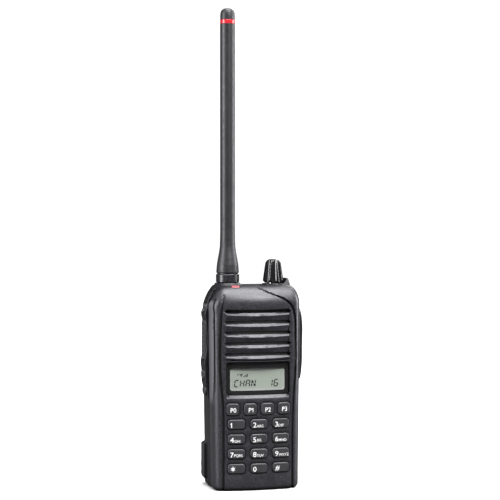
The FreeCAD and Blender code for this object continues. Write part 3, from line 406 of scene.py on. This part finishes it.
def soften_nodes():
    """Welds each face patch to its neighbours and rounds the sharp edges a little."""
    for name, width in ROUND_EDGES.items():
        node = NODES[name]
        weld = node.modifiers.new("Weld", "WELD")
        weld.merge_threshold = 0.002 * MM
        bevel = node.modifiers.new("Bevel", "BEVEL")
        bevel.width = width * MM
        bevel.segments = 2
        bevel.limit_method = "ANGLE"
        bevel.angle_limit = math.radians(38)
        bevel.use_clamp_overlap = True
        bevel.harden_normals = True
        bevel.miter_outer = "MITER_ARC"


# ---- pieces that Blender adds ----

def finish_piece(piece, body):
    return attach(piece, body)


def mesh_piece(name, made, material, body):
    """An object from a bmesh in the row frame."""
    data = bpy.data.meshes.new(name)
    bmesh.ops.recalc_face_normals(made, faces=made.faces)
    made.to_mesh(data)
    made.free()
    data.materials.append(MATERIALS[material])
    piece = bpy.data.objects.new(name, data)
    bpy.context.scene.collection.objects.link(piece)
    return finish_piece(piece, body)


def text_mesh(words, height, weight=0.0, shear=0.0, spacing=1.0):
    """A flat lettering mesh with its lower left corner at the origin, in its own XY plane."""
    curve = bpy.data.curves.new("words", "FONT")
    curve.body = words
    curve.size = height / 0.73
    curve.offset = weight
    curve.shear = shear
    curve.space_character = spacing
    curve.extrude = INK_HALF
    curve.resolution_u = 4
    holder = bpy.data.objects.new("words", curve)
    bpy.context.scene.collection.objects.link(holder)
    bpy.context.view_layer.update()
    data = bpy.data.meshes.new_from_object(holder)
    bpy.data.objects.remove(holder)
    bpy.data.curves.remove(curve)
    made = bmesh.new()
    made.from_mesh(data)
    bpy.data.meshes.remove(data)
    bmesh.ops.remove_doubles(made, verts=made.verts, dist=0.0005 * MM)
    low_x = min(v.co.x for v in made.verts)
    low_y = min(v.co.y for v in made.verts)
    bmesh.ops.translate(made, vec=(-low_x, -low_y, 0), verts=made.verts)
    return made


def add_slab(made, face, back):
    """A closed plate between two matching loops of points."""
    layers = [[made.verts.new(point) for point in loop] for loop in (face, back)]
    made.faces.new(layers[0])
    made.faces.new(list(reversed(layers[1])))
    for i in range(len(face)):
        j = (i + 1) % len(face)
        made.faces.new((layers[0][i], layers[0][j], layers[1][j], layers[1][i]))


def add_ink(made, outline):
    """A flat shape of ink from its outline in XY."""
    add_slab(made, [(x, y, INK_HALF) for x, y in outline], [(x, y, -INK_HALF) for x, y in outline])


def add_flag(made):
    """Puts the slanted stroke on a figure one that ends a line of lettering."""
    edge = max(v.co.x for v in made.verts) - 0.3 * MM
    height = max(v.co.y for v in made.verts)
    offsets = ((0.12, 0), (-0.8, -0.6), (-0.8, -1.0), (0.12, -0.55))
    add_ink(made, [(edge + x * MM, height + y * MM) for x, y in offsets])


def add_mesh(target, source):
    """Copies one bmesh into another and frees it."""
    data = bpy.data.meshes.new("part")
    source.to_mesh(data)
    source.free()
    target.from_mesh(data)
    bpy.data.meshes.remove(data)


def front_face(node):
    """The flat front of a key: its middle, its normal, and its half width and height."""
    data = NODES[node].data
    facing = max((p for p in data.polygons if p.normal.y < -0.5), key=lambda p: p.area)
    normal = facing.normal.copy()
    level = facing.center.dot(normal)
    across = Vector((-normal.y, normal.x, 0)).normalized()
    points = [v.co for v in data.vertices if abs(v.co.dot(normal) - level) < 0.004 * MM]
    sides = [p.dot(across) for p in points]
    heights = [p.z for p in points]
    middle = across * (min(sides) + max(sides)) / 2 + normal * level
    middle.z = (min(heights) + max(heights)) / 2
    return middle, normal, (max(sides) - min(sides)) / 2, (max(heights) - min(heights)) / 2


def lay_on(made, middle, normal, left, low):
    """Lays lettering made in XY on a face, from an offset to the face's middle."""
    across = Vector((-normal.y, normal.x, 0)).normalized()
    turn = Matrix((across, Vector((0, 0, 1)), normal)).transposed()
    place = middle + across * left + Vector((0, 0, low)) + normal * 0.015 * MM
    bmesh.ops.transform(made, matrix=Matrix.Translation(place) @ turn.to_4x4(), verts=made.verts)


def make_legends():
    """The digits and letters printed on the keys."""
    digit_height, letter_height, margin, gap = 3.1 * MM, 1.6 * MM, 0.75 * MM, 0.3 * MM
    for node, (digit, letters) in KEYS.items():
        middle, normal, half_width, half_height = front_face(node)
        low = -half_height + 0.3 * MM
        if digit == "*":
            made = star_mesh(1.7 * MM)
            lay_on(made, middle, normal, -half_width + margin + 1.7 * MM, -0.1 * MM)
        else:
            made = text_mesh(digit, digit_height, 0.018 * MM, 0.14 if digit == "#" else 0)
            stretch(made, 1.12)
            if digit == "1":
                add_flag(made)
            width = max(v.co.x for v in made.verts)
            start = -half_width + margin + (0.6 * MM if digit == "1" else 0)
            lay_on(made, middle, normal, start, low)
            if letters:
                small = text_mesh(letters, letter_height, 0.005 * MM, 0, 1.02)
                lay_on(small, middle, normal, start + width + gap, low)
                add_mesh(made, small)
        mesh_piece(node + "_legend", made, "white_ink", node)
    for node, words in SOFT_KEYS.items():
        middle, normal, half_width, half_height = front_face(node)
        made = text_mesh(words, 2.75 * MM, 0.016 * MM)
        if words.endswith("1"):
            add_flag(made)
        width = max(v.co.x for v in made.verts)
        lay_on(made, middle, normal, -width / 2 + 0.25 * MM, -1.75 * MM)
        mesh_piece(node + "_legend", made, "white_ink", node)


def stretch(made, factor):
    """Widens lettering along its line."""
    bmesh.ops.scale(made, vec=(factor, 1, 1), verts=made.verts)


def star_mesh(radius, points=6):
    """A six-armed star about the origin, in XY."""
    made = bmesh.new()
    corners = []
    for i in range(points * 2):
        reach = radius if i % 2 == 0 else radius * 0.42
        angle = math.pi * i / points + math.pi / 2
        corners.append((reach * math.cos(angle), reach * math.sin(angle)))
    add_ink(made, corners)
    return made


def rounded_outline(half_width, low, high, radius, steps=6):
    """Corner points of a rounded rectangle, counter-clockwise from the lower right, in (x, z)."""
    corners = ((half_width - radius, low + radius, -90), (half_width - radius, high - radius, 0),
               (radius - half_width, high - radius, 90), (radius - half_width, low + radius, 180))
    points = []
    for x, z, start in corners:
        for i in range(steps + 1):
            angle = math.radians(start + 90 * i / steps)
            points.append((x + radius * math.cos(angle), z + radius * math.sin(angle)))
    return points


def ring_plate(outer, inner, depth_of, thick):
    """A plate between two matching outlines whose face lies at a depth given for each x."""
    made = bmesh.new()
    loops = []
    for outline, back in ((outer, 0), (inner, 0), (inner, thick), (outer, thick)):
        loops.append([made.verts.new((x, depth_of(x) + back, z)) for x, z in outline])
    count = len(outer)
    for k in range(4):
        first, second = loops[k], loops[(k + 1) % 4]
        for i in range(count):
            j = (i + 1) % count
            made.faces.new((first[i], first[j], second[j], second[i]))
    return made


def matching(outer_size, inner_size, longest=1.5 * MM):
    """Two rounded outlines with the same number of points, and no span over the longest."""
    outer, inner = rounded_outline(*outer_size), rounded_outline(*inner_size)
    count = len(outer)
    made = ([], [])
    for i in range(count):
        j = (i + 1) % count
        parts = max(1, math.ceil(math.dist(outer[i], outer[j]) / longest))
        for source, target in ((outer, made[0]), (inner, made[1])):
            first, last = source[i], source[j]
            for k in range(parts):
                target.append(tuple(a + (b - a) * k / parts for a, b in zip(first, last)))
    return made


def make_display():
    """The black border behind the window, the grey rim round the glass, and the readout."""
    window_low, window_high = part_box("display_window")
    glass_low, glass_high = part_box("display_glass")
    half = (window_high.x - window_low.x) / 2 - 0.3 * MM
    back = window_low.y + 1.4 * MM

    def behind_window(x):
        return back + 0.06 * MM + x * x / (2 * BOW_RADIUS)

    view = ((glass_high.x - glass_low.x) / 2 - 0.35 * MM, glass_low.z + 0.35 * MM, glass_high.z - 0.35 * MM)
    outer, inner = matching((half, window_low.z + 0.3 * MM, window_high.z - 0.3 * MM, 1.6 * MM),
                            (*view, 1.5 * MM))
    mesh_piece("display_border", ring_plate(outer, inner, behind_window, 0.08 * MM), "lens_border", "radio")
    glass_y = glass_low.y - 0.05 * MM
    rim = 0.95 * MM
    outer, inner = matching((view[0] + 0.3 * MM, view[1] - 0.3 * MM, view[2] + 0.3 * MM, 1.6 * MM),
                            (view[0] - rim, view[1] + rim, view[2] - rim, 0.9 * MM))
    plate = ring_plate(outer, inner, lambda x: glass_y - 0.05 * MM, 0.05 * MM)
    mesh_piece("display_rim", plate, "rim_print", "radio")
    make_readout(glass_y, view)


def bar(made, start, end, half, depth, thick):
    """A flat bar with pointed ends between two (x, z) points, its face at a depth."""
    first, last = Vector((start[0], 0, start[1])), Vector((end[0], 0, end[1]))
    along = (last - first).normalized()
    side = Vector((-along.z, 0, along.x)) * half
    tip = along * half
    outline = (first, first + tip + side, last - tip + side, last, last - tip - side, first + tip - side)
    add_slab(made, *[[point + Vector((0, y, 0)) for point in outline] for y in (depth, depth + thick)])


def to_side(made, side, middle_y, face_x):
    """Turns a shape that faces -Y to face one side, with its zero depth on that face."""
    turn = Matrix.Rotation(math.radians(90 * side), 4, "Z")
    bmesh.ops.transform(made, matrix=Matrix.Translation((face_x, middle_y, 0)) @ turn, verts=made.verts)


def make_latch_spring():
    """The latch's spring, as a copy of the CAD spring that moves with the battery."""
    source = NODES["latch_spring"]
    piece = bpy.data.objects.new("latch_spring_coil", source.data.copy())
    bpy.context.scene.collection.objects.link(piece)
    piece.matrix_world = source.matrix_world.copy()
    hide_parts("latch_spring")
    finish_piece(piece, "battery")
    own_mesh(piece)


def make_side_rims():
    """A raised rubber rim on each side key, and cross ribs on the talk button, in a lighter rubber that
    paints the highlight along the keys' edges.
    """
    for node in ("side_key_upper", "ptt_button", "side_key_middle", "side_key_lower"):
        low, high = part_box(node)
        half = 3.4 * MM
        top, bottom = high.z - 0.9 * MM, low.z + 0.9 * MM
        radius = min(1.7 * MM, (top - bottom) / 2 - 0.3 * MM)
        rim = 0.7 * MM
        outer, inner = matching((half, bottom, top, radius),
                                (half - rim, bottom + rim, top - rim, max(0.3 * MM, radius - rim)))
        made = ring_plate(outer, inner, lambda x: -0.22 * MM, 0.27 * MM)
        if node == "ptt_button":
            for i in range(7):
                z = bottom + 3.4 * MM + i * 2.7 * MM
                bar(made, (-1.9 * MM, z), (1.9 * MM, z), 0.35 * MM, -0.18 * MM, 0.23 * MM)
        to_side(made, -1, 2.05 * MM, low.x)
        # painted highlight: the rims and ribs take the lighter rubber
        mesh_piece(node + "_rim", made, "rim_highlight_rubber", node)


def make_cover_ribs():
    """Finger ribs on the socket cover."""
    low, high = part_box("jack_cover")
    made = bmesh.new()
    for i in range(6):
        z = (low.z + high.z) / 2 + (i - 2.5) * 1.5 * MM
        bar(made, (-3.6 * MM, z), (3.6 * MM, z), 0.4 * MM, -0.2 * MM, 0.25 * MM)
    to_side(made, 1, (low.y + high.y) / 2, high.x)
    mesh_piece("jack_cover_ribs", made, "side_rubber", "jack_cover")


def make_pointer():
    """White fill in the knob's pointer groove."""
    low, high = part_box("volume_knob")
    made = bmesh.new()
    reach = (high.y - low.y) / 2
    middle_x, middle_y = (low.x + high.x) / 2, (low.y + high.y) / 2
    bar(made, (0, 2.3 * MM), (0, reach - 2.75 * MM), 0.3 * MM, -0.3 * MM, 0.2 * MM)
    lay_flat = Matrix.Rotation(math.radians(180), 4, "Z") @ Matrix.Rotation(math.radians(-90), 4, "X")
    place = Matrix.Translation((middle_x, middle_y, high.z)) @ lay_flat
    bmesh.ops.transform(made, matrix=place, verts=made.verts)
    mesh_piece("volume_knob_pointer", made, "white_ink", "volume_knob")


# the strokes of a readout character, in shares of its width and height
SEGMENTS = {
    "a": ((0, 1), (1, 1)), "b": ((1, 1), (1, 0.5)), "c": ((1, 0.5), (1, 0)), "d": ((0, 0), (1, 0)),
    "e": ((0, 0.5), (0, 0)), "f": ((0, 1), (0, 0.5)), "g": ((0, 0.5), (0.5, 0.5)),
    "h": ((0.5, 0.5), (1, 0.5)), "i": ((0, 1), (0.5, 0.5)), "n": ((0.5, 0.5), (1, 0)),
}
CHARACTERS = {"C": "adef", "H": "bcefgh", "A": "abcefgh", "N": "bcefin", "1": "bc", "6": "acdefgh", " ": ""}


def stroke(made, start, end, half, depth, shrink=0.0):
    """A segment of the readout, a little shorter than the span between its points."""
    first, last = Vector(start), Vector(end)
    along = (last - first).normalized() * shrink
    bar(made, first + along, last - along, half, depth, 0.03 * MM)


def make_readout(glass_y, view):
    """A generic channel readout in starburst segments, with signal and antenna marks above it."""
    made = bmesh.new()
    depth = glass_y - 0.02 * MM
    wide, tall, pitch, lean = 2.2 * MM, 3.9 * MM, 3.55 * MM, 0.12
    left, low = -view[0] + 2.9 * MM, view[1] + 2.3 * MM
    for place, letter in enumerate("CHAN  16"):
        for name in CHARACTERS[letter]:
            ends = []
            for x, z in SEGMENTS[name]:
                ends.append((left + pitch * place + x * wide + z * tall * lean, low + z * tall))
            stroke(made, *ends, 0.34 * MM, depth, 0.06 * MM)
    make_signal_marks(made, left + 1.6 * MM, low + tall + 1.9 * MM, depth)
    mesh_piece("display_readout", made, "segment_ink", "radio")


def make_signal_marks(made, left, low, depth):
    """An antenna sign and a row of growing bars."""
    mast = left + 2.6 * MM
    stroke(made, (mast, low), (mast, low + 2.2 * MM), 0.21 * MM, depth)
    for side in (-1, 1):
        stroke(made, (mast, low + 0.9 * MM), (mast + side * 1.1 * MM, low + 2.2 * MM), 0.21 * MM, depth)
    stroke(made, (left, low + 1.9 * MM), (left + 0.9 * MM, low + 1.2 * MM), 0.28 * MM, depth)
    for i in range(4):
        x = mast + (1.6 + 0.75 * i) * MM
        stroke(made, (x, low), (x, low + (0.7 + 0.5 * i) * MM), 0.26 * MM, depth)


# ---- room, lights and camera ----

def make_floor():
    bpy.ops.mesh.primitive_circle_add(vertices=96, radius=3, fill_type="NGON")
    floor = bpy.context.object
    floor.name = "floor"
    shader = Shader("floor_paper", (0.45, 0.45, 0.45), 0.9)
    seen = shader.node("ShaderNodeLightPath").outputs["Is Camera Ray"]
    shader.set("Base Color", shader.between(seen, 0.035, 0.6, 0, 1))
    shader.bump(shader.noise(2 * MM, 3), 0.02 * MM)
    floor.data.materials.append(shader.material)


def make_world():
    """White to the camera, and a softer grey as light on the object."""
    world = bpy.data.worlds.new("studio")
    bpy.context.scene.world = world
    world.use_nodes = True
    tree = world.node_tree
    back = tree.nodes["Background"]
    path = tree.nodes.new("ShaderNodeLightPath")
    shade = tree.nodes.new("ShaderNodeMapRange")
    shade.inputs["To Min"].default_value = 0.065
    shade.inputs["To Max"].default_value = 1.1
    tree.links.new(path.outputs["Is Camera Ray"], shade.inputs["Value"])
    tree.links.new(shade.outputs[0], back.inputs["Strength"])
    back.inputs["Color"].default_value = (1, 1, 1, 1)


def area_light(name, place, target, size, power):
    data = bpy.data.lights.new(name, "AREA")
    data.shape = "RECTANGLE"
    data.size, data.size_y = size
    data.energy = power
    light = bpy.data.objects.new(name, data)
    bpy.context.scene.collection.objects.link(light)
    light.location = place
    light.rotation_euler = (Vector(target) - Vector(place)).to_track_quat("-Z", "Y").to_euler()


def sun_light(name, toward, angle, power):
    """A very soft, distant light, so that the floor is evenly lit."""
    data = bpy.data.lights.new(name, "SUN")
    data.angle = math.radians(angle)
    data.energy = power
    light = bpy.data.objects.new(name, data)
    bpy.context.scene.collection.objects.link(light)
    light.rotation_euler = Vector(toward).to_track_quat("-Z", "Y").to_euler()


def make_lights():
    middle = (0, 0, 0.1)
    sun_light("top_light", (-0.12, 0.22, -1), 60, 9)
    area_light("brow_light", (0.3, -0.86, 0.85), middle, (0.3, 0.16), 12)
    area_light("left_strip", (-0.95, -0.2, 0.25), middle, (0.35, 0.9), 16)
    area_light("right_strip", (0.95, -0.02, 0.25), middle, (0.35, 0.9), 12)
    area_light("back_fill", (0.6, 0.8, 0.8), middle, (0.5, 0.5), 4)


def make_camera():
    """A long lens, a little to the left of the front and looking slightly down."""
    data = bpy.data.cameras.new("camera")
    data.sensor_width = 36
    data.lens = 111.66
    camera = bpy.data.objects.new("camera", data)
    bpy.context.scene.collection.objects.link(camera)
    yaw, pitch, distance = math.radians(14.46), math.radians(1.134), 0.96025
    forward = Vector((math.sin(yaw) * math.cos(pitch), math.cos(yaw) * math.cos(pitch), -math.sin(pitch)))
    right = Vector((math.cos(yaw), -math.sin(yaw), 0))
    target = right * -0.857 * MM + Vector((0, 0, 146.51 * MM))
    camera.location = target - forward * distance
    camera.rotation_mode = "QUATERNION"
    camera.rotation_quaternion = forward.to_track_quat("-Z", "Y")
    data.clip_start, data.clip_end = 0.05, 20
    bpy.context.scene.camera = camera


def set_view():
    settings = bpy.context.scene.view_settings
    settings.view_transform = "Standard"
    settings.look = "None"


paint_nodes()
paint_groove_shade()
soften_nodes()
make_legends()
make_display()
make_latch_spring()
make_side_rims()
make_cover_ribs()
make_pointer()
make_floor()
make_world()
make_lights()
make_camera()
set_view()
